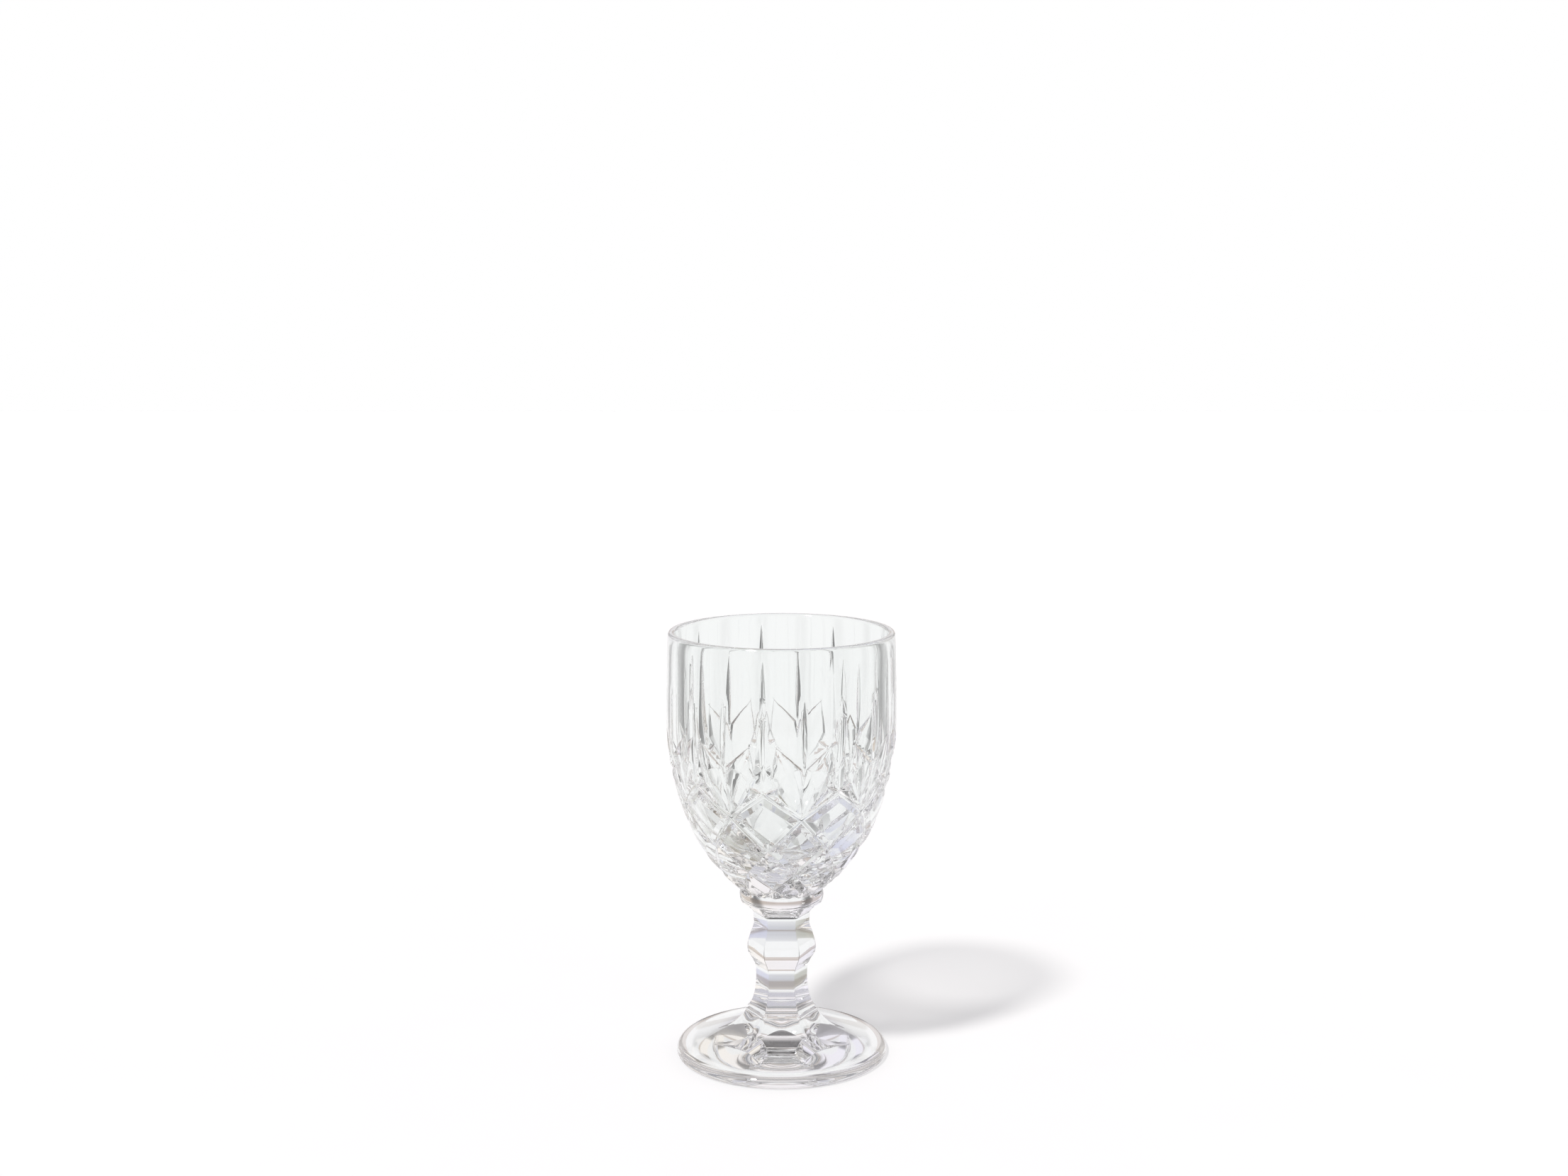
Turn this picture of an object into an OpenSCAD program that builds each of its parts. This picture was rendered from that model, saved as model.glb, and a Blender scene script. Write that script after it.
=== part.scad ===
// Cordial glass: a cut bowl, a collar, a six-sided knopped stem and a scalloped foot,
// each a gather of clear glass joined hot to the next. It stands on z = 0, front to -Y.

/* [Bowl] */
// Height of the bowl from its joint with the collar to the lip
bowl_h = 65.4; // [62:0.1:70]
// Radius of the bowl at its widest level
belly_r = 28.5; // [27.5:0.1:30]
// Height of the widest level above the joint
belly_h = 43.4; // [41:0.1:46]
// How far the mouth is drawn in from the widest radius
mouth_draw = 0.45; // [0.2:0.05:1]
// Height of the shoulder, where the side turns under, above the joint
shoulder_h = 17.4; // [16:0.1:19]
// How far the shoulder is drawn in from the widest radius
shoulder_draw = 5.25; // [4.8:0.05:6]
// Radius of the bowl where it meets the collar
base_r = 10.2; // [9.6:0.1:11]
// Wall at the lip
lip_wall = 1.8; // [1.4:0.1:2.2]
// Wall at the shoulder, measured level
shoulder_wall = 3.7; // [3.4:0.1:4.2]

/* [Cut pattern] */
// Number of times that the pattern repeats round the bowl
repeats = 9; // [8:1:10]
// Turn of the front tall blade from the front, in degrees
pattern_turn = -9; // [-20:1:20]
// Height of the top row of diamond corners above the joint
lattice_h = 29.9; // [28.5:0.1:31]
// Height above the joint at which the diamond grooves run out, under the short blades
run_out_h = 35.1; // [33:0.1:37]
// Depth of the diamond grooves where they cross
cross_depth = 0.62; // [0.5:0.02:0.8]
// Half the width of the narrow groove between two diamonds
groove_half = 0.55; // [0.4:0.05:0.7]
// Depth of that narrow groove's steep flanks
groove_flank = 0.5; // [0.4:0.02:0.6]
// Height of a tall blade's tip above the joint
tall_tip_h = 62.2; // [58:0.1:63]
// Height of a short blade's tip above the joint
short_tip_h = 52.9; // [50:0.1:56]
// Height of a leaning blade's tip above the joint
lean_tip_h = 41.2; // [39:0.1:43]

/* [Collar] */
// Height of the collar between the bowl and the stem
collar_h = 6.3; // [5.5:0.1:7.5]
// Height of the collar's round ring
ring_h = 3; // [2.4:0.1:3.6]
// How far the ring stands out past the bowl's base
ring_out = 0.35; // [0.2:0.05:1]

/* [Stem] */
// Height of the stem between the foot and the collar
stem_h = 24.3; // [23:0.1:27]
// Distance from the axis to a flat at the neck, under the collar
neck_flat = 6.15; // [5.8:0.05:6.5]
// Distance from the axis to a flat at the knop
knop_flat = 7.58; // [7.3:0.02:8.2]
// Distance from the axis to a flat at the waist
waist_flat = 5.83; // [5.4:0.01:6.2]
// Radius of the hollow curve of the waist
waist_curve = 14; // [13:0.1:16]

/* [Foot] */
// Height of the foot up to its joint with the stem
foot_h = 12; // [11:0.1:14]
// Radius of the foot
foot_r = 26.5; // [25:0.1:29]
// Height of the foot's edge
edge_h = 3; // [2.4:0.1:3.4]
// Width of the rim, from the edge to its inner line
rim_w = 4.2; // [3.4:0.1:5]
// Height of the rim's inner line above the table
rim_line_h = 3.65; // [3.5:0.05:4.2]
// Depth of the shallow hollow under the foot
kick_h = 1.3; // [0.8:0.05:1.8]
// Width of the flat ring that the foot rests on
seat_w = 1.6; // [1.2:0.05:2.2]

/* [Hidden] */
$fn = 96;

// How far a cutting bar runs on past the glass
overrun = 5;

// Levels of the joints between the four gathers
stem_z = foot_h;
collar_z = stem_z + stem_h;
bowl_z = collar_z + collar_h;

function unit(v) = v / norm(v);
// An arc is held as [centre r, centre z, radius]. This one is upright at p and passes through q.
function upright_arc(p, q) =
    let (
        draw = p.x - q.x,
        rise = p.y - q.y,
        curve = (draw * draw + rise * rise) / (2 * draw)
    ) [p.x - curve, p.y, curve];
// The arc that leaves arc a at q without a corner and passes through s
function next_arc(a, q, s) =
    let (
        out = unit(q - [a.x, a.y]),
        step = s - q,
        curve = -(step * step) / (2 * out * step)
    ) [q.x - curve * out.x, q.y - curve * out.y, curve];
function arc_r(a, z) = a.x + sqrt(a.z * a.z - (z - a.y) * (z - a.y));
// Points up an arc from level z0, the last one at z1 left out
function arc_points(a, z0, z1, steps) =
    [for (i = [0 : steps - 1])
        let (z = z0 + (z1 - z0) * i / steps) [arc_r(a, z), z]];

// Outside of the bowl: the base arc, the side arc and the nearly straight upper arc
lip_round = lip_wall / 2;
lip_z = bowl_z + bowl_h - lip_round;
mouth_r = belly_r - mouth_draw;
shoulder_r = belly_r - shoulder_draw;
belly_z = bowl_z + belly_h;
shoulder_z = bowl_z + shoulder_h;
upper_arc = upright_arc([belly_r, belly_z], [mouth_r, lip_z]);
side_arc = upright_arc([belly_r, belly_z], [shoulder_r, shoulder_z]);
base_arc = next_arc(side_arc, [shoulder_r, shoulder_z], [base_r, bowl_z]);

// Inside of the bowl: a straight side, one arc and a round floor that meets it without a corner
hollow_r = mouth_r - lip_wall;
hollow_low = [shoulder_r - shoulder_wall, shoulder_z];
hollow_arc = upright_arc([hollow_r, belly_z], hollow_low);
floor_way = unit(hollow_low - [hollow_arc.x, hollow_arc.y]);
floor_round = hollow_low.x / floor_way.x;
floor_centre_z = hollow_low.y - floor_round * floor_way.y;

// Steps of the outline's arcs
base_steps = 8;
side_steps = 8;
upper_steps = 4;
lip_steps = 6;
floor_steps = 7;
hollow_steps = 7;

function lip_points() =
    [for (i = [0 : lip_steps])
        let (turn = 180 * i / lip_steps)
            [hollow_r + lip_round + lip_round * cos(turn), lip_z + lip_round * sin(turn)]];
function hollow_points() =
    [for (i = [0 : hollow_steps - 1])
        let (z = belly_z + (shoulder_z - belly_z) * i / hollow_steps) [arc_r(hollow_arc, z), z]];
function floor_points() =
    [for (i = [floor_steps : -1 : 0])
        let (turn = acos(-floor_way.y) * i / floor_steps)
            [floor_round * sin(turn), floor_centre_z - floor_round * cos(turn)]];

module bowl_blank() {
    rotate_extrude()
        polygon(concat(
            [[0, bowl_z]],
            arc_points(base_arc, bowl_z, shoulder_z, base_steps),
            arc_points(side_arc, shoulder_z, belly_z, side_steps),
            arc_points(upper_arc, belly_z, lip_z, upper_steps),
            lip_points(),
            hollow_points(),
            floor_points()
        ));
}

// The skin that the wheel cuts: its arc, its radius and its outward direction at level z
function skin_arc(z) = z > belly_z ? upper_arc : z > shoulder_z ? side_arc : base_arc;
function skin_r(z) = arc_r(skin_arc(z), z);
function skin_way(z) = let (a = skin_arc(z)) unit([skin_r(z) - a.x, z - a.y]);
function turned(p, azimuth) = [p.x * cos(azimuth), p.x * sin(azimuth), p.y];
// A point at a depth under the skin
function on_skin(azimuth, z, depth = 0) = turned([skin_r(z), z] - depth * skin_way(z), azimuth);

// A straight wheel cut from low to high: a bar of the child's section that opens along facing
module wheel_cut(low, high, facing, run_on) {
    along = unit(high - low);
    out = unit(facing - (facing * along) * along);
    across = cross(along, out);
    start = low - run_on * along;
    multmatrix([
        [out.x, across.x, along.x, start.x],
        [out.y, across.y, along.y, start.y],
        [out.z, across.z, along.z, start.z],
        [0, 0, 0, 1]
    ])
        linear_extrude(height = norm(high - low) + 2 * run_on)
            children();
}

module plain_wheel(half_angle) {
    reach = overrun * tan(half_angle);
    polygon([[0, 0], [overrun, -reach], [overrun, reach]]);
}

// The diamond wheel: a narrow steep groove with a wide shallow bevel on each side
module diamond_wheel() {
    reach = overrun * tan(bevel_half_angle);
    union() {
        polygon([[0, 0], [groove_flank, -groove_half], [groove_flank, groove_half]]);
        polygon([
            [groove_flank, -groove_half],
            [groove_flank + overrun, -groove_half - reach],
            [groove_flank + overrun, groove_half + reach],
            [groove_flank, groove_half]
        ]);
    }
}

// Half angles of the wheels' edges
tall_half_angle = 50;
short_half_angle = 65;
lean_half_angle = 68;
bevel_half_angle = 72;

pitch = 360 / repeats;
half_pitch = pitch / 2;
// Rows of diamond corners, as shares of the top row's height above the joint
rows_share = [1, 0.783, 0.482, 0.247, 0.064];
last_row = len(rows_share) - 1;
function row_z(i) = bowl_z + lattice_h * rows_share[i];
// Share of a leaning blade's way from the middle of a fan to the next tall blade
lean_share = 0.67;
// A cut that is meant to end at a corner runs on by this much
corner_run_on = 0.6;
// The second set of grooves is cut this much deeper, so the first shows where they cross
second_extra = 0.02;

module tall_blade() {
    low = on_skin(0, row_z(0) - groove_half);
    high = on_skin(0, bowl_z + tall_tip_h);
    wheel_cut(low, high, [1, 0, 0], overrun)
        plain_wheel(tall_half_angle);
}

module short_blade() {
    low = on_skin(half_pitch, row_z(1));
    high = on_skin(half_pitch, bowl_z + short_tip_h);
    wheel_cut(low, high, turned([1, 0], half_pitch), overrun)
        plain_wheel(short_half_angle);
}

module leaning_blade() {
    tip_azimuth = half_pitch * (1 - lean_share);
    low = on_skin(half_pitch, row_z(1));
    high = on_skin(tip_azimuth, bowl_z + lean_tip_h);
    facing = turned([1, 0], (half_pitch + tip_azimuth) / 2);
    wheel_cut(low, high, facing, corner_run_on)
        plain_wheel(lean_half_angle);
}

// One side of the diamonds between rows i and i + 1
module diamond_side(i, extra) {
    low = on_skin((i + 1) * half_pitch, row_z(i + 1), cross_depth + extra);
    high = on_skin(i * half_pitch, row_z(i), cross_depth + extra);
    middle_way = skin_way((row_z(i) + row_z(i + 1)) / 2);
    wheel_cut(low, high, turned(middle_way, (i + 0.5) * half_pitch), corner_run_on)
        diamond_wheel();
}

// The end of a groove above the top row: the wheel leaves the glass under a short blade
module run_out(extra) {
    low = on_skin(0, row_z(0), cross_depth + extra);
    high = on_skin(-half_pitch, bowl_z + run_out_h, extra);
    middle_way = skin_way((row_z(0) + bowl_z + run_out_h) / 2);
    wheel_cut(low, high, turned(middle_way, -half_pitch / 2), corner_run_on)
        diamond_wheel();
}

module all_round() {
    for (k = [0 : repeats - 1])
        rotate([0, 0, k * pitch])
            children();
}

module less_all_round() {
    difference() {
        children(0);
        all_round()
            children(1);
    }
}

// The grooves that fall one way round the bowl, cut row by row and then run out at the top
module grooves(rounds, extra, turn_back) {
    if (rounds == 0)
        children();
    else
        less_all_round() {
            grooves(rounds - 1, extra, turn_back)
                children();
            mirror([0, turn_back, 0])
                if (rounds > last_row)
                    run_out(extra);
                else
                    diamond_side(rounds - 1, extra);
        }
}

module blades() {
    less_all_round() {
        less_all_round() {
            less_all_round() {
                less_all_round() {
                    bowl_blank();
                    tall_blade();
                }
                short_blade();
            }
            leaning_blade();
        }
        mirror([0, 1, 0])
            leaning_blade();
    }
}

module bowl() {
    color("lightcyan")
        rotate([0, 0, pattern_turn - 90])
            grooves(last_row + 1, second_extra, 1)
                grooves(last_row + 1, 0, 0)
                    blades();
}

// Corners between six flats, and how much fire polishing softens them
corner_ratio = 1 / cos(30);
soft_share = 0.965;
corner = corner_ratio * soft_share;
// The creases round the corners lie this much above those of the flats
corner_lift = 0.07;

// A solid with six flats, one of them to the front. The line holds [flat, level] up the side,
// and the corners follow it.
module six_sided(line) {
    last = len(line) - 1;
    width = 2 * corner_ratio * max([for (p = line) p.x]);
    intersection() {
        intersection_for (turn = [30, 90, 150])
            rotate([90, 0, turn])
                linear_extrude(height = width, center = true)
                    polygon(concat(line, [for (i = [last : -1 : 0]) [-line[i].x, line[i].y]]));
        rotate_extrude()
            polygon(concat(
                [[0, line[0].y], [line[0].x * corner, line[0].y]],
                [for (i = [1 : last - 1]) [line[i].x * corner, line[i].y + corner_lift]],
                [[line[last].x * corner, line[last].y], [0, line[last].y]]
            ));
    }
}

// Points up a hollow curve from level z0, the last one at z1 left out
function hollow_curve(centre, curve, z0, z1, steps) =
    [for (i = [0 : steps - 1])
        let (z = z0 + (z1 - z0) * i / steps)
            [centre.x - sqrt(curve * curve - (z - centre.y) * (z - centre.y)), z]];

// Levels of the stem's creases above its joint with the foot
waist_h = 6.7;
belt_middle_h = 15;
belt_high_h = 17.4;
neck_low_h = 21;
// How far the flats at those creases lie inside the knop's and the neck's
belt_low_in = 0.13;
belt_high_in = 0.22;
neck_low_in = 0.18;
waist_steps = 10;
waist_centre = [waist_flat + waist_curve, stem_z + waist_h];
joint_flat = waist_centre.x - sqrt(waist_curve * waist_curve - waist_h * waist_h);

function stem_line() =
    let (
        belt_low_flat = knop_flat - belt_low_in,
        fall = waist_centre.x - belt_low_flat,
        belt_low_z = waist_centre.y + sqrt(waist_curve * waist_curve - fall * fall)
    ) concat(
        hollow_curve(waist_centre, waist_curve, stem_z, belt_low_z, waist_steps),
        [
            [belt_low_flat, belt_low_z],
            [knop_flat, stem_z + belt_middle_h],
            [knop_flat - belt_high_in, stem_z + belt_high_h],
            [neck_flat - neck_low_in, stem_z + neck_low_h],
            [neck_flat, collar_z]
        ]
    );

module stem() {
    color("azure")
        six_sided(stem_line());
}

// The collar: a round ring under the bowl, and a stepped flare with six flats down to the neck
ring_r = base_r + ring_out;
ring_low_z = bowl_z - ring_h;
ring_middle_z = bowl_z - ring_h / 2;
ring_arc = upright_arc([ring_r, ring_middle_z], [base_r, bowl_z]);
ring_steps = 6;
// Steps of the flare, as shares of its height and of its way out from the neck to the ring
flare_share = [[0, 0.06], [0.3, 0.4], [0.38, 0.52], [0.66, 0.7], [0.74, 0.84], [1, 0.92]];
flare_out = base_r / corner - neck_flat;

function flare_line() =
    concat(
        [for (f = flare_share)
            [neck_flat + f.y * flare_out, collar_z + f.x * (ring_low_z - collar_z)]],
        [[neck_flat + flare_out, ring_middle_z]]
    );

module collar() {
    color("aliceblue") {
        rotate_extrude()
            polygon(concat(
                [[0, ring_low_z]],
                arc_points(ring_arc, ring_low_z, bowl_z, ring_steps),
                [[base_r, bowl_z], [0, bowl_z]]
            ));
        six_sided(flare_line());
    }
}

// The skirt of the foot flares from the stem's joint and runs into the round dome
skirt_curve = 9;
skirt_low = [12.1, 6.8];
skirt_steps = 7;
// How far the skirt's surface runs on under the dome
skirt_run = 4;

// Centre of the circle of radius curve, above and outside the line from p down to q
function hollow_centre(p, q, curve) =
    let (
        half = (q - p) / 2,
        away = unit([-half.y, half.x])
    ) (p + q) / 2 + sqrt(curve * curve - half * half) * away;

function skirt_line() =
    let (
        high = [joint_flat, stem_z],
        centre = hollow_centre(high, skirt_low, skirt_curve),
        out = unit(skirt_low - centre)
    ) concat(
        [skirt_low + skirt_run * [-out.y, out.x]],
        hollow_curve(centre, skirt_curve, skirt_low.y, high.y, skirt_steps),
        [high]
    );

edge_low_round = 1;
edge_top_round = edge_h - edge_low_round;
edge_steps = 5;
seat_out_r = foot_r - edge_low_round;
seat_in_r = seat_out_r - seat_w;
rim_line_r = foot_r - rim_w;
// Height that the dome's slope would reach at the axis, inside the skirt
dome_peak_h = 11.5;
kick_curve = (seat_in_r * seat_in_r + kick_h * kick_h) / (2 * kick_h);
kick_steps = 6;

function round_points(centre, curve, from, to) =
    [for (i = [0 : edge_steps])
        let (turn = from + (to - from) * i / edge_steps)
            centre + curve * [cos(turn), sin(turn)]];
function kick_points() =
    [for (i = [0 : kick_steps])
        let (r = seat_in_r * i / kick_steps)
            [r, kick_h - kick_curve + sqrt(kick_curve * kick_curve - r * r)]];

module foot_dome() {
    rotate_extrude()
        polygon(concat(
            kick_points(),
            round_points([seat_out_r, edge_low_round], edge_low_round, -90, 0),
            round_points([foot_r - edge_top_round, edge_low_round], edge_top_round, 90 / edge_steps, 90),
            [[rim_line_r, rim_line_h], [0, dome_peak_h]]
        ));
}

module foot() {
    color("lavender") {
        foot_dome();
        six_sided(skirt_line());
    }
}

bowl();
collar();
stem();
foot();
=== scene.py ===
import math

import bpy
import numpy as np
from mathutils import Euler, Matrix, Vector


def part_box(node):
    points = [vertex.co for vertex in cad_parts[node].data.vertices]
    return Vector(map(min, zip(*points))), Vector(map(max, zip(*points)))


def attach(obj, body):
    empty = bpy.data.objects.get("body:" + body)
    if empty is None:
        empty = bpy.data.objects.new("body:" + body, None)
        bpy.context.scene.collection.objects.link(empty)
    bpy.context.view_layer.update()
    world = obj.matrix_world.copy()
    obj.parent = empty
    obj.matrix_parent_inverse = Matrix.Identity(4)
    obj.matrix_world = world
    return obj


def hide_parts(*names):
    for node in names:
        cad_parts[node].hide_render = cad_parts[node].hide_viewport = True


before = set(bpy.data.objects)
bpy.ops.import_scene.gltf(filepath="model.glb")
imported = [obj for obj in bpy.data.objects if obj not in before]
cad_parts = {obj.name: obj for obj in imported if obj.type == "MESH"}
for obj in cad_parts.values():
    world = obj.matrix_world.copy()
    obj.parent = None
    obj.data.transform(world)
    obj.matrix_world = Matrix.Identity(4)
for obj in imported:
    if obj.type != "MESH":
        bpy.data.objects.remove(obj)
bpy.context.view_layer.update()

# Bowl: one gather of clear glass, blown, and then cut on the outside with wheels. Low down is a
# lattice of diamonds, and tall, short and leaning blades stand above it. It is joined hot to the collar.

MM = 0.001
# Points closer than this are one point
TOUCHING = 1e-7

# The skin before it is cut: radius and level, in millimetres, at the belly, mouth, shoulder and joint
bowl_low, bowl_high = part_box("bowl")
joint_z = bowl_low.z / MM
lip_wall = 1.8
lip_round = lip_wall / 2
BELLY = (28.5, joint_z + 43.4)
MOUTH = (28.05, bowl_high.z / MM - lip_round)
SHOULDER = (23.25, joint_z + 17.4)
BASE = (10.2, joint_z)


def upright_arc(p, q):
    """(centre radius, centre level, curve) of the arc that is upright at p and passes through q."""
    draw, rise = p[0] - q[0], p[1] - q[1]
    curve = (draw * draw + rise * rise) / (2 * draw)
    return p[0] - curve, p[1], curve


def next_arc(arc, q, s):
    """The arc that leaves another one at q without a corner and passes through s."""
    out = np.array([q[0] - arc[0], q[1] - arc[1]])
    out /= np.linalg.norm(out)
    step = np.array([s[0] - q[0], s[1] - q[1]])
    curve = -(step @ step) / (2 * (out @ step))
    return q[0] - curve * out[0], q[1] - curve * out[1], curve


def arc_r(arc, z):
    """The radius that an arc has at level z."""
    centre_r, centre_z, curve = arc
    return centre_r + math.sqrt(curve**2 - (z - centre_z) ** 2)


upper_arc = upright_arc(BELLY, MOUTH)
side_arc = upright_arc(BELLY, SHOULDER)
base_arc = next_arc(side_arc, SHOULDER, BASE)


def skin(z):
    """Radius of the uncut bowl at level z, and the outward direction there."""
    arc = upper_arc if z > BELLY[1] else side_arc if z > SHOULDER[1] else base_arc
    r = arc_r(arc, z)
    return r, (r - arc[0]) / arc[2], (z - arc[1]) / arc[2]


# The cutting is carved on a flat drawing, one unit to the millimetre, and then rolled round the bowl.
# The drawing keeps its angles when it is rolled: its height grows faster where the bowl is narrow.
FLAT_R = BELLY[0]
level_count = 1600
LEVELS = np.linspace(joint_z, MOUTH[1], level_count)
radii = np.array([skin(z)[0] for z in LEVELS])
steps = np.hypot(np.diff(radii), np.diff(LEVELS))
LENGTHS = np.concatenate([[0], np.cumsum(steps)])
FLAT_Y = np.concatenate([[0], np.cumsum(steps * 2 * FLAT_R / (radii[1:] + radii[:-1]))])


def flat(azimuth, z):
    """A place on the flat drawing, from its azimuth in degrees and its level in millimetres."""
    return Vector((math.radians(azimuth) * FLAT_R, float(np.interp(z, LEVELS, FLAT_Y)), 0))


def only(piece):
    """Leaves one piece selected and active."""
    bpy.ops.object.select_all(action="DESELECT")
    piece.select_set(True)
    bpy.context.view_layer.objects.active = piece


def pick(piece, faces=None, points=None):
    """Goes into edit mode with the faces, or the points, that pass a test selected."""
    only(piece)
    bpy.ops.object.mode_set(mode="EDIT")
    bpy.ops.mesh.select_mode(type="FACE" if faces else "VERT")
    bpy.ops.mesh.select_all(action="DESELECT")
    bpy.ops.object.mode_set(mode="OBJECT")
    if faces:
        for face in piece.data.polygons:
            face.select = faces(face)
    else:
        for point in piece.data.vertices:
            point.select = points(point.co)
    bpy.ops.object.mode_set(mode="EDIT")


# The edge of a wheel is a V, flat or round: this is how many sides its bar has
VEE, SQUARE, ROUND = 3, 4, 12


def wheel_stroke(start, end, stations, sides):
    """A bar as long as one stroke of a wheel. A station is (share of the way, half width, depth)."""
    bpy.ops.object.select_all(action="DESELECT")
    bpy.ops.mesh.primitive_circle_add(
        vertices=sides,
        radius=math.sqrt(2) if sides == SQUARE else 1,
        fill_type="NGON",
        rotation=(math.radians(-90), math.radians(45 if sides == SQUARE else 0), 0),
    )
    bar = bpy.context.object
    bpy.ops.object.transform_apply(location=False, rotation=True, scale=False)
    way = end - start
    length = way.length
    # half the width of the bar where it meets the skin, in units of its depth
    natural = math.tan(math.radians(30)) if sides == VEE else 1
    bpy.ops.object.mode_set(mode="EDIT")
    bpy.ops.mesh.select_all(action="SELECT")
    share, half, depth = stations[0]
    bpy.ops.transform.translate(value=(0, share * length, 0))
    bpy.ops.transform.resize(value=(half / natural, 1, depth), center_override=(0, share * length, 0))
    for last, this in zip(stations, stations[1:]):
        bpy.ops.mesh.extrude_region_move(
            TRANSFORM_OT_translate={"value": (0, (this[0] - last[0]) * length, 0)}
        )
        bpy.ops.transform.resize(
            value=(this[1] / last[1], 1, this[2] / last[2]),
            center_override=(0, this[0] * length, 0),
        )
    bpy.ops.mesh.select_all(action="SELECT")
    bpy.ops.mesh.normals_make_consistent(inside=False)
    bpy.ops.object.mode_set(mode="OBJECT")
    bar.rotation_euler = Euler((0, 0, math.atan2(-way.x, way.y)))
    bar.location = start
    bpy.ops.object.transform_apply(location=True, rotation=True, scale=False)
    return bar


def cut(blank, bar):
    """Takes the bar's shape out of the blank."""
    only(blank)
    stroke = blank.modifiers.new("stroke", "BOOLEAN")
    stroke.operation = "DIFFERENCE"
    stroke.solver = "EXACT"
    stroke.object = bar
    bpy.ops.object.modifier_apply(modifier=stroke.name)
    bpy.data.objects.remove(bar)


# The blank is half of one repeat, from the middle of a tall blade to the middle of a short one
repeats = 9
half_pitch = 180 / repeats
blank_deep = 4
half_wide = math.radians(half_pitch) * FLAT_R
flat_high = FLAT_Y[-1]
bpy.ops.object.select_all(action="DESELECT")
bpy.ops.mesh.primitive_cube_add(
    size=1,
    location=(half_wide / 2, flat_high / 2, -blank_deep / 2),
    scale=(half_wide, flat_high, blank_deep),
)
bowl = bpy.context.object
bowl.name = "cut_bowl"
bpy.ops.object.transform_apply(location=True, rotation=True, scale=True)

# The diamonds lie between corners, each given by its azimuth and level. Their sides are wide shallow
# bevels, each with a groove along its middle: a flat one in the two upper rows, and a V in the others.
corners = [(0, 72.5), (half_pitch, 66.0), (0, 57.0), (half_pitch, 50.0), (0, 44.6), (half_pitch, 41.0)]
groove_half = [0.6, 0.58, 0.5, 0.42, 0.3]
groove_edge = [SQUARE, SQUARE, VEE, VEE, VEE]
bevel_half = [1.9, 1.8, 2.3, 2.1, 1.6]
bevel_slope = math.tan(math.radians(24))
groove_deeper = 0.16
vee_deeper = 0.1
vee_slope = 0.9
# a stroke runs on past its corners, by this share of its length, and at the joint by millimetres
past_corner = 1.0
past_joint = 6
for high, low, groove, bevel, edge in zip(corners, corners[1:], groove_half, bevel_half, groove_edge):
    middle_z = (high[1] + max(low[1], joint_z)) / 2
    widen = FLAT_R / skin(middle_z)[0]
    start = flat(*high)
    end = flat(*low) if low[1] > joint_z else flat(low[0], joint_z) - Vector((0, past_joint, 0))
    shallow = bevel * bevel_slope
    deep = (bevel - groove) * bevel_slope + groove_deeper
    if edge == VEE:
        groove, deep = deep / vee_slope, deep + vee_deeper
    for half, depth, sides in ((bevel * widen, shallow, VEE), (groove * widen, deep, edge)):
        stations = [(-past_corner, half, depth), (1 + past_corner, half, depth)]
        cut(bowl, wheel_stroke(start, end, stations, sides))

# The bevel and groove run on above the top corners and fade out under the short blades
start, end = flat(*corners[0]), flat(half_pitch, 77.7)
faded = 0.3
for half, depth in ((1.3, 0.62), (0.75, 0.78)):
    stations = [(-0.5, half, depth), (0, half, depth), (1.08, half * faded, depth * faded)]
    cut(bowl, wheel_stroke(start, end, stations, VEE))


def blade(low_azimuth, high_azimuth, stations, edge):
    """Cuts one blade up the bowl. A station is (level, half width, depth)."""
    start = flat(low_azimuth, stations[0][0])
    end = flat(high_azimuth, stations[-1][0])
    shares = [(flat(0, z).y - start.y) / (end.y - start.y) for z, half, depth in stations]
    on_way = [(share, half, depth) for share, (z, half, depth) in zip(shares, stations)]
    cut(bowl, wheel_stroke(start, end, on_way, edge))


# Tall and short blade, by level, half width and slope of the sides. Towards its tip a blade is steep.
tall = [
    (72.0, 0.5, 0.2), (73.4, 1.4, 0.26), (76, 1.95, 0.3), (79, 2.05, 0.32), (84, 1.55, 0.34),
    (90, 0.95, 0.38), (95, 0.7, 0.55), (96.5, 0.68, 0.8), (100, 0.5, 0.82), (104.8, 0.02, 0.84),
]
short = [
    (76.5, 0.1, 0.3), (79, 0.45, 0.35), (84.5, 0.62, 0.75),
    (88, 0.62, 0.82), (92, 0.42, 0.84), (95.5, 0.02, 0.84),
]
blade(0, 0, [(z, half, half * slope) for z, half, slope in tall], VEE)
blade(half_pitch, half_pitch, [(z, half, half * slope) for z, half, slope in short], VEE)

# Leaning blade, by level, half width and depth. It is dished, and leans towards the tall blade.
tip_azimuth = 6.7
leaning = [
    (66.2, 0.2, 0.1), (70, 2.2, 0.55), (74, 3.6, 0.9),
    (78, 4.1, 1.02), (81, 2.3, 0.58), (84.5, 0.08, 0.02),
]
blade(half_pitch, tip_azimuth, leaning, ROUND)

# Only the carved face is kept, and its twin is added. Points on the drawing that are closer than
# same_place, in millimetres, are one point.
same_place = 1e-4
pick(bowl, faces=lambda face: face.normal.z < 0.05 or face.center.z < -blank_deep + 0.1)
bpy.ops.mesh.delete(type="FACE")
bpy.ops.mesh.select_all(action="SELECT")
bpy.ops.mesh.remove_doubles(threshold=0.02)
bpy.ops.mesh.dissolve_limited(angle_limit=math.radians(0.5))
bpy.ops.object.mode_set(mode="OBJECT")
half_twin = bowl.modifiers.new("half_twin", "MIRROR")
half_twin.merge_threshold = 1e-3
bpy.ops.object.modifier_apply(modifier=half_twin.name)

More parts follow.
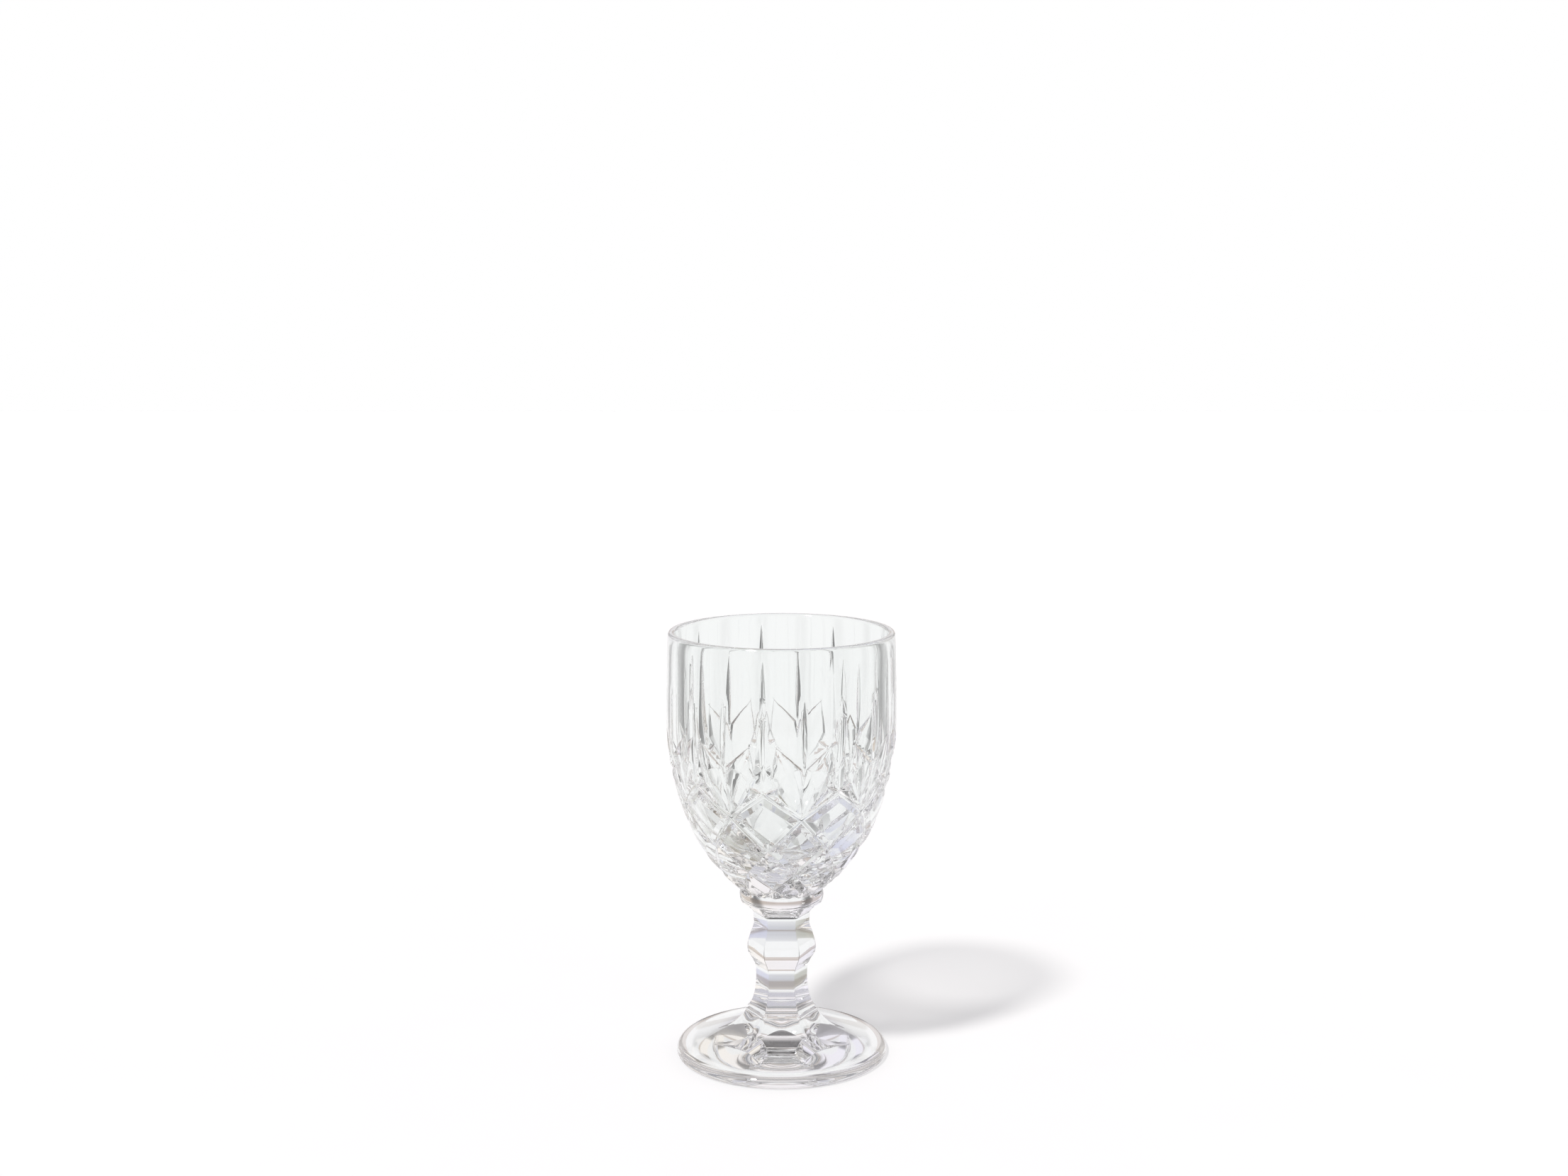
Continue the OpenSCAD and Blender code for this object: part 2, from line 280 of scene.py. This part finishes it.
# Its creases are rounded a little, as polishing leaves them
crease_wide = 0.06
crease_angle = math.radians(5)
bpy.ops.object.mode_set(mode="EDIT")
bpy.ops.mesh.select_mode(type="EDGE")
bpy.ops.mesh.select_all(action="DESELECT")
bpy.ops.mesh.edges_select_sharp(sharpness=crease_angle)
bpy.ops.mesh.bevel(offset=crease_wide, segments=2, profile=0.5, affect="EDGES", clamp_overlap=False)

# It is ruled finely both ways, so that it bends smoothly
bpy.ops.mesh.select_mode(type="FACE")
across, up = 11, 70
for i in range(1 - across, across):
    bpy.ops.mesh.select_all(action="SELECT")
    bpy.ops.mesh.bisect(plane_co=(half_wide * i / across, 0, 0), plane_no=(1, 0, 0), threshold=1e-5)
for i in range(1, up):
    y = float(np.interp(LENGTHS[-1] * i / up, LENGTHS, FLAT_Y))
    bpy.ops.mesh.select_all(action="SELECT")
    bpy.ops.mesh.bisect(plane_co=(0, y, 0), plane_no=(0, 1, 0), threshold=1e-5)
bpy.ops.mesh.select_all(action="SELECT")
bpy.ops.mesh.remove_doubles(threshold=same_place)
bpy.ops.object.mode_set(mode="OBJECT")
all_round = bowl.modifiers.new("all_round", "ARRAY")
all_round.use_relative_offset = False
all_round.use_constant_offset = True
all_round.constant_offset_displace = (2 * half_wide, 0, 0)
all_round.count = repeats
all_round.use_merge_vertices = True
all_round.merge_threshold = same_place
bpy.ops.object.modifier_apply(modifier=all_round.name)

# Rolled round the bowl: the drawing's breadth becomes an angle, and its height a way up the skin. The
# first tall blade stands front_turn degrees beside the front. The bottom row stays level at the joint.
front_turn = -9
for point in bowl.data.vertices:
    x, y, lift = point.co
    z = float(np.interp(y, FLAT_Y, LEVELS))
    r, out_r, out_z = skin(z)
    if y < same_place:
        r, out_z = r + lift / out_r - lift * out_r, 0
    turn = x / FLAT_R + math.radians(front_turn - 90)
    r, z = r + lift * out_r, z + lift * out_z
    point.co = Vector((r * math.cos(turn), r * math.sin(turn), z)) * MM
pick(bowl, points=lambda co: True)
bpy.ops.mesh.remove_doubles(threshold=TOUCHING)
bpy.ops.object.mode_set(mode="OBJECT")


def draw_on(r, z, last_r, last_z):
    """Draws the selected edge of the glass on, from one radius and level to the next."""
    bpy.ops.mesh.extrude_edges_move(TRANSFORM_OT_translate={"value": (0, 0, (z - last_z) * MM)})
    bpy.ops.transform.resize(value=(r / last_r, r / last_r, 1), center_override=(0, 0, z * MM))


# The lip is rounded in the fire, and the inside is one smooth wall and a round floor
shoulder_wall = 3.7
hollow_r = MOUTH[0] - lip_wall
hollow_low = (SHOULDER[0] - shoulder_wall, SHOULDER[1])
hollow_arc = upright_arc((hollow_r, BELLY[1]), hollow_low)
floor_way = np.array([hollow_low[0] - hollow_arc[0], hollow_low[1] - hollow_arc[1]]) / hollow_arc[2]
floor_round = hollow_low[0] / floor_way[0]
floor_z = hollow_low[1] - floor_round * floor_way[1]
floor_turn = math.acos(-floor_way[1])
floor_end = 0.02
inside = [
    (hollow_r + lip_round + lip_round * math.cos(turn), MOUTH[1] + lip_round * math.sin(turn))
    for turn in np.linspace(0, math.pi, 17)
]
inside += [(hollow_r, z) for z in np.linspace(MOUTH[1], BELLY[1], 9)[1:]]
inside += [(arc_r(hollow_arc, z), z) for z in np.linspace(BELLY[1], hollow_low[1], 21)[1:]]
inside += [
    (floor_round * math.sin(turn), floor_z - floor_round * math.cos(turn))
    for turn in np.linspace(floor_turn, floor_end, 23)[1:]
]
pick(bowl, points=lambda co: abs(co.z - MOUTH[1] * MM) < TOUCHING)
for (last_r, last_z), (r, z) in zip(inside, inside[1:]):
    draw_on(r, z, last_r, last_z)
bpy.ops.mesh.merge(type="CENTER")
bpy.ops.mesh.select_all(action="DESELECT")
bpy.ops.object.mode_set(mode="OBJECT")

# The open ring at the joint, well outside the middle, is closed with a level face
joint_clear_r = 5
pick(
    bowl,
    points=lambda co: abs(co.z - joint_z * MM) < TOUCHING and co.x**2 + co.y**2 > (joint_clear_r * MM) ** 2,
)
bpy.ops.mesh.edge_face_add()
bpy.ops.mesh.select_all(action="SELECT")
bpy.ops.mesh.normals_make_consistent(inside=False)
bpy.ops.object.mode_set(mode="OBJECT")
bpy.ops.object.shade_smooth_by_angle(angle=math.radians(24))


class Wire:
    """One socket of a finish. Sums and products of wires add the Math nodes that work them out."""

    def __init__(self, socket):
        self.socket = socket

    @classmethod
    def node(cls, tree, kind, settings, sockets, output=0):
        """Adds a node: first its settings, then the values or wires of its sockets.
        The stops of a ramp go from place 0 to place 1, and the ramp eases between them."""
        new = tree.nodes.new(kind)
        for name, value in settings.items():
            if name == "stops":
                new.color_ramp.interpolation = "EASE"
                for place, colour in value[1:-1]:
                    new.color_ramp.elements.new(place)
                for stop, (place, colour) in zip(new.color_ramp.elements, value):
                    stop.color = colour
            else:
                setattr(new, name, value)
        for name, value in sockets.items():
            if isinstance(value, cls):
                tree.links.new(value.socket, new.inputs[name])
            else:
                new.inputs[name].default_value = value
        return cls(new.outputs[output]) if new.outputs else None

    def work_out(self, operation, first, second):
        """Adds one Math node on two wires or numbers."""
        settings = {"operation": operation}
        return self.node(self.socket.id_data, "ShaderNodeMath", settings, {0: first, 1: second})

    def __add__(self, other):
        return self.work_out("ADD", self, other)

    def __radd__(self, other):
        return self.work_out("ADD", other, self)

    def __mul__(self, other):
        return self.work_out("MULTIPLY", self, other)

    def __rmul__(self, other):
        return self.work_out("MULTIPLY", other, self)


def empty_tree(holder):
    """The nodes of a material or a world, cleared."""
    holder.use_nodes = True
    holder.node_tree.nodes.clear()
    return holder.node_tree


def blend(tree, share, first, second, way="MIX"):
    """Blends two colours, or multiplies them. A Mix node keeps its colours in sockets 6, 7 and 2."""
    settings = {"data_type": "RGBA", "blend_type": way}
    return Wire.node(tree, "ShaderNodeMix", settings, {"Factor": share, 6: first, 7: second}, 2)


def blend_shaders(tree, share, first, second):
    """Goes over from the first shader to the second by a share."""
    return Wire.node(tree, "ShaderNodeMixShader", {}, {0: share, 1: first, 2: second})


def ray(tree, kind):
    """1 for rays of one kind, and 0 for the others."""
    return Wire.node(tree, "ShaderNodeLightPath", {}, {}, kind)


def noise(tree, place, scale, detail):
    """Soft random clouds."""
    return Wire.node(tree, "ShaderNodeTexNoise", {}, {"Vector": place, "Scale": scale, "Detail": detail})


def clear_glass(name, cool, warm, shade_tone):
    """Clear glass: hardly coloured, with a fire-polished skin that waves a little. It casts a pale
    shadow, which is darker under the parts of the glass that are seen edge-on."""
    bend = 1.52
    smear_rough = 0.02
    edge_shade = (0.7, 0.71, 0.72, 1)
    finish = bpy.data.materials.new(name)
    tree = empty_tree(finish)
    place = Wire.node(tree, "ShaderNodeTexCoord", {}, {}, "Object")
    cloud = noise(tree, place, scale=45, detail=2)
    smear = noise(tree, place, scale=160, detail=4)
    wave = Wire.node(tree, "ShaderNodeBump", {}, {"Strength": 0.06, "Distance": 0.0004, "Height": cloud})
    glass = Wire.node(
        tree,
        "ShaderNodeBsdfPrincipled",
        {},
        {
            "Base Color": blend(tree, cloud, cool, warm),
            "Roughness": smear * smear_rough,
            "IOR": bend,
            "Transmission Weight": 1.0,
            "Normal": wave,
        },
    )
    edge_on = Wire.node(tree, "ShaderNodeLayerWeight", {}, {"Blend": 0.35}, "Facing")
    open_shade = (shade_tone, shade_tone, shade_tone, 1)
    open_part = Wire.node(tree, "ShaderNodeBsdfTransparent", {}, {"Color": open_shade})
    edge_part = Wire.node(tree, "ShaderNodeBsdfTransparent", {}, {"Color": edge_shade})
    shade = blend_shaders(tree, edge_on, open_part, edge_part)
    lamp_ray = ray(tree, "Is Shadow Ray")
    table_ray = ray(tree, "Is Diffuse Ray")
    either = Wire.node(tree, "ShaderNodeMath", {"operation": "MAXIMUM"}, {0: lamp_ray, 1: table_ray})
    surface = blend_shaders(tree, either, glass, shade)
    Wire.node(tree, "ShaderNodeOutputMaterial", {}, {"Surface": surface})
    return finish


def hot_joint():
    """The level where two gathers were joined hot. The glass runs through it, so it can't be seen."""
    finish = bpy.data.materials.new("hot_joint")
    tree = empty_tree(finish)
    through = Wire.node(tree, "ShaderNodeBsdfTransparent", {}, {"Color": (1, 1, 1, 1)})
    Wire.node(tree, "ShaderNodeOutputMaterial", {}, {"Surface": through})
    return finish


joined = hot_joint()


def dress(piece, finish, joint_levels, node_name):
    """Gives a piece its glass, and its joint faces the glass that runs through them."""
    joint_slack = 0.02
    piece.data.materials.clear()
    piece.data.materials.append(finish)
    piece.data.materials.append(joined)
    for face in piece.data.polygons:
        level = face.center.z / MM
        is_level = abs(face.normal.z) > 0.999
        on_joint = any(abs(level - joint) < joint_slack for joint in joint_levels)
        face.material_index = int(is_level and on_joint)
    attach(piece, "root")
    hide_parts(node_name)


bowl_glass = clear_glass(
    "bowl_glass", cool=(0.96, 0.973, 0.968, 1), warm=(0.98, 0.982, 0.979, 1), shade_tone=0.9
)
dress(bowl, bowl_glass, [joint_z], "bowl")

# Collar: a small gather of glass under the bowl, with a round ring above a stepped flare that takes up
# the six flats of the stem. It is tooled and joined hot, so its steps are softly rounded.


def stack(name, sides, stations, turn=0.0):
    """A solid drawn up through rings of (radius, level), in millimetres, closed at both ends."""
    r, z = stations[0]
    bpy.ops.object.select_all(action="DESELECT")
    bpy.ops.mesh.primitive_circle_add(
        vertices=sides,
        radius=r * MM,
        fill_type="NGON",
        location=(0, 0, z * MM),
        rotation=(0, 0, math.radians(turn)),
    )
    piece = bpy.context.object
    piece.name = name
    bpy.ops.object.transform_apply(location=True, rotation=True, scale=True)
    bpy.ops.object.mode_set(mode="EDIT")
    bpy.ops.mesh.select_all(action="SELECT")
    for (last_r, last_z), (r, z) in zip(stations, stations[1:]):
        bpy.ops.mesh.extrude_region_move(TRANSFORM_OT_translate={"value": (0, 0, (z - last_z) * MM)})
        bpy.ops.transform.resize(value=(r / last_r, r / last_r, 1), center_override=(0, 0, z * MM))
    bpy.ops.mesh.select_all(action="SELECT")
    bpy.ops.mesh.normals_make_consistent(inside=False)
    bpy.ops.object.mode_set(mode="OBJECT")
    return piece


def soften_corners(piece, wide, segments):
    """Rounds the six upright corners of a six-sided shape, as fire polishing does."""
    only(piece)
    bpy.ops.object.mode_set(mode="EDIT")
    bpy.ops.mesh.select_mode(type="EDGE")
    bpy.ops.mesh.select_all(action="DESELECT")
    bpy.ops.object.mode_set(mode="OBJECT")
    for edge in piece.data.edges:
        ends = [piece.data.vertices[i].co for i in edge.vertices]
        turns = [math.degrees(math.atan2(end.y, end.x)) % 60 for end in ends]
        climbs = abs(ends[0].z - ends[1].z) > 0.01 * MM
        edge.select = climbs and all(min(turn, 60 - turn) < 1 for turn in turns)
    bpy.ops.object.mode_set(mode="EDIT")
    bpy.ops.mesh.bevel(offset=wide * MM, segments=segments, profile=0.5, affect="EDGES")
    bpy.ops.object.mode_set(mode="OBJECT")


def weld_on(piece, other):
    """Joins another shape of the same gather into a piece."""
    only(piece)
    weld = piece.modifiers.new("weld", "BOOLEAN")
    weld.operation = "UNION"
    weld.solver = "EXACT"
    weld.object = other
    bpy.ops.object.modifier_apply(modifier=weld.name)
    bpy.data.objects.remove(other)


# Flare, stem and skirt have six flats, one of them to the front. Half the width across the flats,
# times CORNER, is the radius at their corners.
flats = 6
flat_to_front = 30
CORNER = 1 / math.cos(math.radians(30))
soft_angle = math.radians(22)
collar_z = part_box("collar")[0].z / MM
ring_high = 3.0
ring_r = 10.55
ring_sides = 240
ring_low_z = joint_z - ring_high
ring_middle = joint_z - ring_high / 2
ring_arc = upright_arc((ring_r, ring_middle), (BASE[0], joint_z))
ring_line = [(arc_r(ring_arc, z), z) for z in np.linspace(ring_low_z, joint_z, 15)]
collar = stack("ringed_collar", ring_sides, ring_line)

# Half the width across the flats of the flare, and the share of its height. It ends inside the ring.
flare = [(6.3, 0), (6.95, 0.3), (7.3, 0.38), (7.85, 0.66), (8.3, 0.74), (8.75, 1), (8.75, 1.5)]
flare_soft = 1.0
flare_line = [(half * CORNER, collar_z + share * (ring_low_z - collar_z)) for half, share in flare]
flare_piece = stack("flare", flats, flare_line, flat_to_front)
soften_corners(flare_piece, flare_soft, 8)
weld_on(collar, flare_piece)
only(collar)
bpy.ops.object.shade_smooth_by_angle(angle=soft_angle)
stem_glass = clear_glass(
    "stem_glass", cool=(0.97, 0.972, 0.985, 1), warm=(0.985, 0.985, 0.98, 1), shade_tone=0.93
)
dress(collar, stem_glass, [joint_z, collar_z], "collar")

# Stem: a six-sided bar of clear glass with a flat to the front. It has a hollow waist low down, a knop
# with a flat belt above it, and a short neck. It is tooled hot, and fire polishing softens its corners.

stem_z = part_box("stem")[0].z / MM
joint_flat = 7.53
neck_flat = 6.15
stem_soft = 0.22
# Half the width across the flats, at heights above the foot's joint. Two close heights make an edge.
stem_line = [
    (joint_flat, 0), (7.1, 0.5), (6.68, 1.2), (6.36, 2), (6.1, 3), (5.86, 4.2), (5.74, 5.2), (5.7, 5.4),
    (5.62, 7.5), (5.64, 9.5), (5.7, 10.6), (5.78, 10.8), (6.3, 12), (6.95, 13.2), (7.33, 13.9), (7.4, 14.1),
    (7.54, 15.2), (7.46, 16.4), (7.28, 17.5), (7.2, 17.7), (6.66, 19.5), (6.12, 21.3), (6.08, 21.5),
    (6.1, 23), (neck_flat, collar_z - stem_z),
]
stem_line = [(half * CORNER, stem_z + height) for half, height in stem_line]
stem = stack("knopped_stem", flats, stem_line, flat_to_front)
soften_corners(stem, stem_soft, 3)
only(stem)
bpy.ops.object.shade_smooth_by_angle(angle=soft_angle)
dress(stem, stem_glass, [collar_z, stem_z], "stem")

# Foot: a round plate of clear glass, hollow underneath, with a soft edge. It is shaped and joined hot.
# A six-sided skirt flares down from the stem and runs into the plate in six arches.

foot_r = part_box("foot")[1].x / MM
edge_low, edge_high = 1.0, 3.0
seat_wide = 1.6
seat_out = foot_r - edge_low
seat_in = seat_out - seat_wide
hollow = 1.3
hollow_curve = (seat_in**2 + hollow**2) / (2 * hollow)
middle_r = 0.3
under = [
    (r, hollow - hollow_curve + math.sqrt(hollow_curve**2 - r**2))
    for r in [middle_r] + list(np.linspace(0, seat_in, 16)[1:])
]
low_edge = [
    (seat_out + edge_low * math.sin(turn), edge_low - edge_low * math.cos(turn))
    for turn in np.linspace(0, math.pi / 2, 9)
]
top_round = edge_high - edge_low
top_edge = [
    (foot_r - top_round + top_round * math.cos(turn), edge_low + top_round * math.sin(turn))
    for turn in np.linspace(0, math.pi / 2, 13)[1:]
]
rim_line_r = foot_r - 4.2
rim_line_z = 3.65
peak_z = 11.5
inner_r = 6
plate_sides = 288
plate_top = [
    (r, rim_line_z + (peak_z - rim_line_z) * (1 - r / rim_line_r))
    for r in np.linspace(rim_line_r, inner_r, 25)
]
foot = stack("scalloped_foot", plate_sides, under + low_edge + top_edge + plate_top)

# The skirt is a hollow arc from the joint down to its low end, and runs on straight into the plate
skirt_curve = 9.0
skirt_low_flat = 12.1
skirt_low_z = 6.8
skirt_run = 4.0
skirt_soft = 0.5
skirt_sides = 96
groove_high = 1.2
high = np.array([joint_flat, stem_z])
low = np.array([skirt_low_flat, skirt_low_z])
half_way = (low - high) / 2
aside = np.array([-half_way[1], half_way[0]]) / np.linalg.norm(half_way)
middle = (high + low) / 2 + math.sqrt(skirt_curve**2 - half_way @ half_way) * aside
out = (low - middle) / skirt_curve
run_on = low + skirt_run * np.array([-out[1], out[0]])
skirt_line = [tuple(run_on)] + [
    (middle[0] - math.sqrt(skirt_curve**2 - (z - middle[1]) ** 2), z)
    for z in np.linspace(skirt_low_z, stem_z - groove_high, 19)
]
# a fine groove lies under the end of the stem: how far out it is, and how far below the joint
stem_groove = [(0.46, 1.0), (0.3, 0.82), (-0.35, 0.5), (-0.42, 0.4), (-0.38, 0.3), (0, 0)]
skirt_line += [(joint_flat + more, stem_z - below) for more, below in stem_groove]
skirt = stack("skirt", skirt_sides, [(half * CORNER, z) for half, z in skirt_line])

# It is given its six sides, and each is hollowed between its corners, more and more towards the plate
arch_deep = 2.0
for point in skirt.data.vertices:
    r = math.hypot(point.co.x, point.co.y)
    off_middle = (math.degrees(math.atan2(point.co.y, point.co.x)) % 60) - 30
    fall = max(0, stem_z - point.co.z / MM) / (stem_z - skirt_low_z)
    wanted = r / CORNER / math.cos(math.radians(off_middle))
    wanted -= arch_deep * MM * fall**1.5 * math.cos(math.radians(3 * off_middle)) ** 2
    point.co.x *= wanted / r
    point.co.y *= wanted / r
soften_corners(skirt, skirt_soft, 6)
weld_on(foot, skirt)
only(foot)
bpy.ops.object.shade_smooth_by_angle(angle=soft_angle)
foot_glass = clear_glass(
    "foot_glass", cool=(0.97, 0.975, 0.985, 1), warm=(0.985, 0.985, 0.98, 1), shade_tone=0.93
)
dress(foot, foot_glass, [stem_z], "foot")

# The table: a matt white top. Clear glass gets its edges from what it bends into view, so rays through
# the glass see the top as a glow with grey cards and rings on it. The glow is painted light, and the
# cards, rings, tints and streaks on it are painted shade. Distances here are in metres.

# A card is the low stretch of a wave that goes round card_count times
card_count = 8
card_stretch = (-1.0, -0.3)
table_wide = 6


def fade(tree, value, start, end, first, last):
    """Eases from the first tone to the last one while a value goes from start to end."""
    sockets = {"Value": value, "From Min": start, "From Max": end, "To Min": first, "To Max": last}
    return Wire.node(tree, "ShaderNodeMapRange", {"interpolation_type": "SMOOTHSTEP"}, sockets)


def along(tree, place, axis):
    """One coordinate of a place or a direction."""
    return Wire.node(tree, "ShaderNodeSeparateXYZ", {}, {"Vector": place}, axis)


def turn_round(tree, place):
    """The angle of a place or a direction round the upright middle."""
    sockets = {0: along(tree, place, "Y"), 1: along(tree, place, "X")}
    return Wire.node(tree, "ShaderNodeMath", {"operation": "ARCTAN2"}, sockets)


def sectors(tree, turn, count):
    """Waves from 1 to -1 and back, a number of times round."""
    return Wire.node(tree, "ShaderNodeMath", {"operation": "COSINE"}, {0: turn * count})


bpy.ops.object.select_all(action="DESELECT")
bpy.ops.mesh.primitive_plane_add(size=table_wide, location=(0, 0, 0))
table = bpy.context.object
table.name = "table"
table_top = bpy.data.materials.new("table_top")
tree = empty_tree(table_top)
place = Wire.node(tree, "ShaderNodeTexCoord", {}, {}, "Object")
grain = noise(tree, place, scale=30, detail=3)
table_white = blend(tree, grain, (0.95, 0.95, 0.95, 1), (0.97, 0.97, 0.97, 1))
matt = Wire.node(tree, "ShaderNodeBsdfDiffuse", {}, {"Color": table_white})
turn = turn_round(tree, place)
away = Wire.node(tree, "ShaderNodeVectorMath", {"operation": "LENGTH"}, {0: place}, "Value")

# The cards are soft sectors of painted shade in the glow, which darken from the foot outwards to the far
# tone
cards_reach = (0.03, 0.34)
far_tone = 0.08
card_tone = fade(tree, away, *cards_reach, 1.0, far_tone)
cards = fade(tree, sectors(tree, turn, card_count), *card_stretch, card_tone, 1.0)
seen = blend(tree, cards, (0, 0, 0, 1), (0.95, 0.96, 0.96, 1))

# The rings, by share of ring_reach: a lilac middle, white, a dark ring at the foot's rim, brown, white. The
# lilac middle, the dark ring and the brown band are painted shade under the foot, at its rim and beside it.
ring_reach = 0.1
lilac, white, dark = (0.6, 0.585, 0.65, 1), (1, 1, 1, 1), (0.34, 0.34, 0.36, 1)
light_brown, brown = (0.66, 0.6, 0.54, 1), (0.62, 0.55, 0.49, 1)
ring_stops = [
    (0, lilac), (0.11, lilac), (0.18, white), (0.245, white), (0.262, dark),
    (0.285, dark), (0.31, light_brown), (0.43, brown), (0.52, white), (1, white),
]
rings = Wire.node(tree, "ShaderNodeValToRGB", {"stops": ring_stops}, {0: away * (1 / ring_reach)})
seen = blend(tree, 1.0, seen, rings, "MULTIPLY")

# Round the foot the table shows the glass's painted shade: the left half is warmer and darker than the
# right half
left_shade, right_shade = (0.5, 0.5, 0.44, 1), (0.68, 0.69, 0.84, 1)
shade_starts, shade_ends, shade_crosses = (0.027, 0.036), (0.05, 0.1), (-0.04, 0.04)
near_foot = fade(tree, away, *shade_ends, 1.0, 0.0) * fade(tree, away, *shade_starts, 0.0, 1.0)
on_right = fade(tree, along(tree, place, "X"), *shade_crosses, 0.0, 1.0)
foot_shade = blend(tree, on_right, left_shade, right_shade)
seen = blend(tree, near_foot, seen, foot_shade, "MULTIPLY")

# Under the foot's rim four dark streaks of painted shade lie between the front, the back and the sides
streak_count = 4
rim_shade_colour = (0.16, 0.15, 0.16, 1)
streak_stretch = (-1.0, -0.45)
rim_starts, rim_ends = (0.0225, 0.025), (0.0285, 0.032)
streak = fade(tree, sectors(tree, turn, streak_count), *streak_stretch, 1.0, 0.0)
under_rim = fade(tree, away, *rim_starts, 0.0, 1.0) * fade(tree, away, *rim_ends, 1.0, 0.0)
seen = blend(tree, under_rim * streak, seen, rim_shade_colour, "MULTIPLY")

# Rays through the glass see the painted glow with its painted shade, and other rays see the matt top
glow_share = 0.9
glow = Wire.node(tree, "ShaderNodeEmission", {}, {"Color": seen, "Strength": 1.0})
surface = blend_shaders(tree, ray(tree, "Is Transmission Ray") * glow_share, matt, glow)
Wire.node(tree, "ShaderNodeOutputMaterial", {}, {"Surface": surface})
table.data.materials.append(table_top)

# The room: pale walls, a brownish band at eye level, grey cards like the table's and a dark ceiling. It
# lights the glass and shows through it. Straight from the camera the room is plain white.

room = bpy.data.worlds.new("room")
bpy.context.scene.world = room
tree = empty_tree(room)
way = Wire.node(tree, "ShaderNodeTexCoord", {}, {}, "Generated")
room_card_tone = 0.35
room_wave = sectors(tree, turn_round(tree, way), card_count)
cards = fade(tree, room_wave, *card_stretch, room_card_tone, 1.0)
# Colours from eye level, at 0, to straight up, at 1
bands = [
    (0, (0.72, 0.68, 0.64, 1)), (0.11, (0.6, 0.55, 0.5, 1)), (0.17, (1, 1, 1, 1)), (0.45, (1, 1, 1, 1)),
    (0.64, (0.8, 0.8, 0.8, 1)), (0.82, (0.2, 0.2, 0.2, 1)), (1, (0.12, 0.12, 0.12, 1)),
]
by_height = Wire.node(tree, "ShaderNodeValToRGB", {"stops": bands}, {0: along(tree, way, "Z")})
left_wall, right_wall = (0.92, 0.9, 1.0, 1), (1.0, 0.95, 0.88, 1)
walls = blend(tree, along(tree, way, "X") * 0.5 + 0.5, left_wall, right_wall)
room_colour = blend(tree, 1.0, walls, by_height, "MULTIPLY")
room_light = Wire.node(tree, "ShaderNodeBackground", {}, {"Color": room_colour, "Strength": cards})
plain = Wire.node(tree, "ShaderNodeBackground", {}, {"Color": (1, 1, 1, 1), "Strength": 1.0})
view = blend_shaders(tree, ray(tree, "Is Camera Ray"), room_light, plain)
Wire.node(tree, "ShaderNodeOutputWorld", {}, {"Surface": view})

# The key light: a soft lamp on the left, above and in front, that throws the shadow back and right
light_way = (0.387, 0.446, -0.807)
light_strength = 2.42
light_breadth = 6
bpy.ops.object.light_add(type="SUN")
key = bpy.context.object
key.name = "key"
key.data.energy = light_strength
key.data.angle = math.radians(light_breadth)
key.rotation_euler = Vector(light_way).to_track_quat("-Z", "Y").to_euler()

# The camera stands in front and looks slightly down
camera_at = (0.0006, -0.48657, 0.188)
camera_down = 8.134
camera_lens = 45.96
bpy.ops.object.camera_add(location=camera_at)
camera = bpy.context.object
camera.name = "camera"
camera.data.sensor_width = 36
camera.data.lens = camera_lens
camera.data.clip_end = 20
camera.rotation_euler = Euler((math.radians(90 - camera_down), 0, 0))
bpy.context.scene.camera = camera
bpy.context.scene.view_settings.view_transform = "Standard"

# Light turns back many times inside thick glass before it comes out
turns_in_glass = 32
faces_passed = 48
cycles = bpy.context.scene.cycles
cycles.max_bounces = turns_in_glass
cycles.glossy_bounces = turns_in_glass
cycles.transmission_bounces = turns_in_glass
cycles.transparent_max_bounces = faces_passed
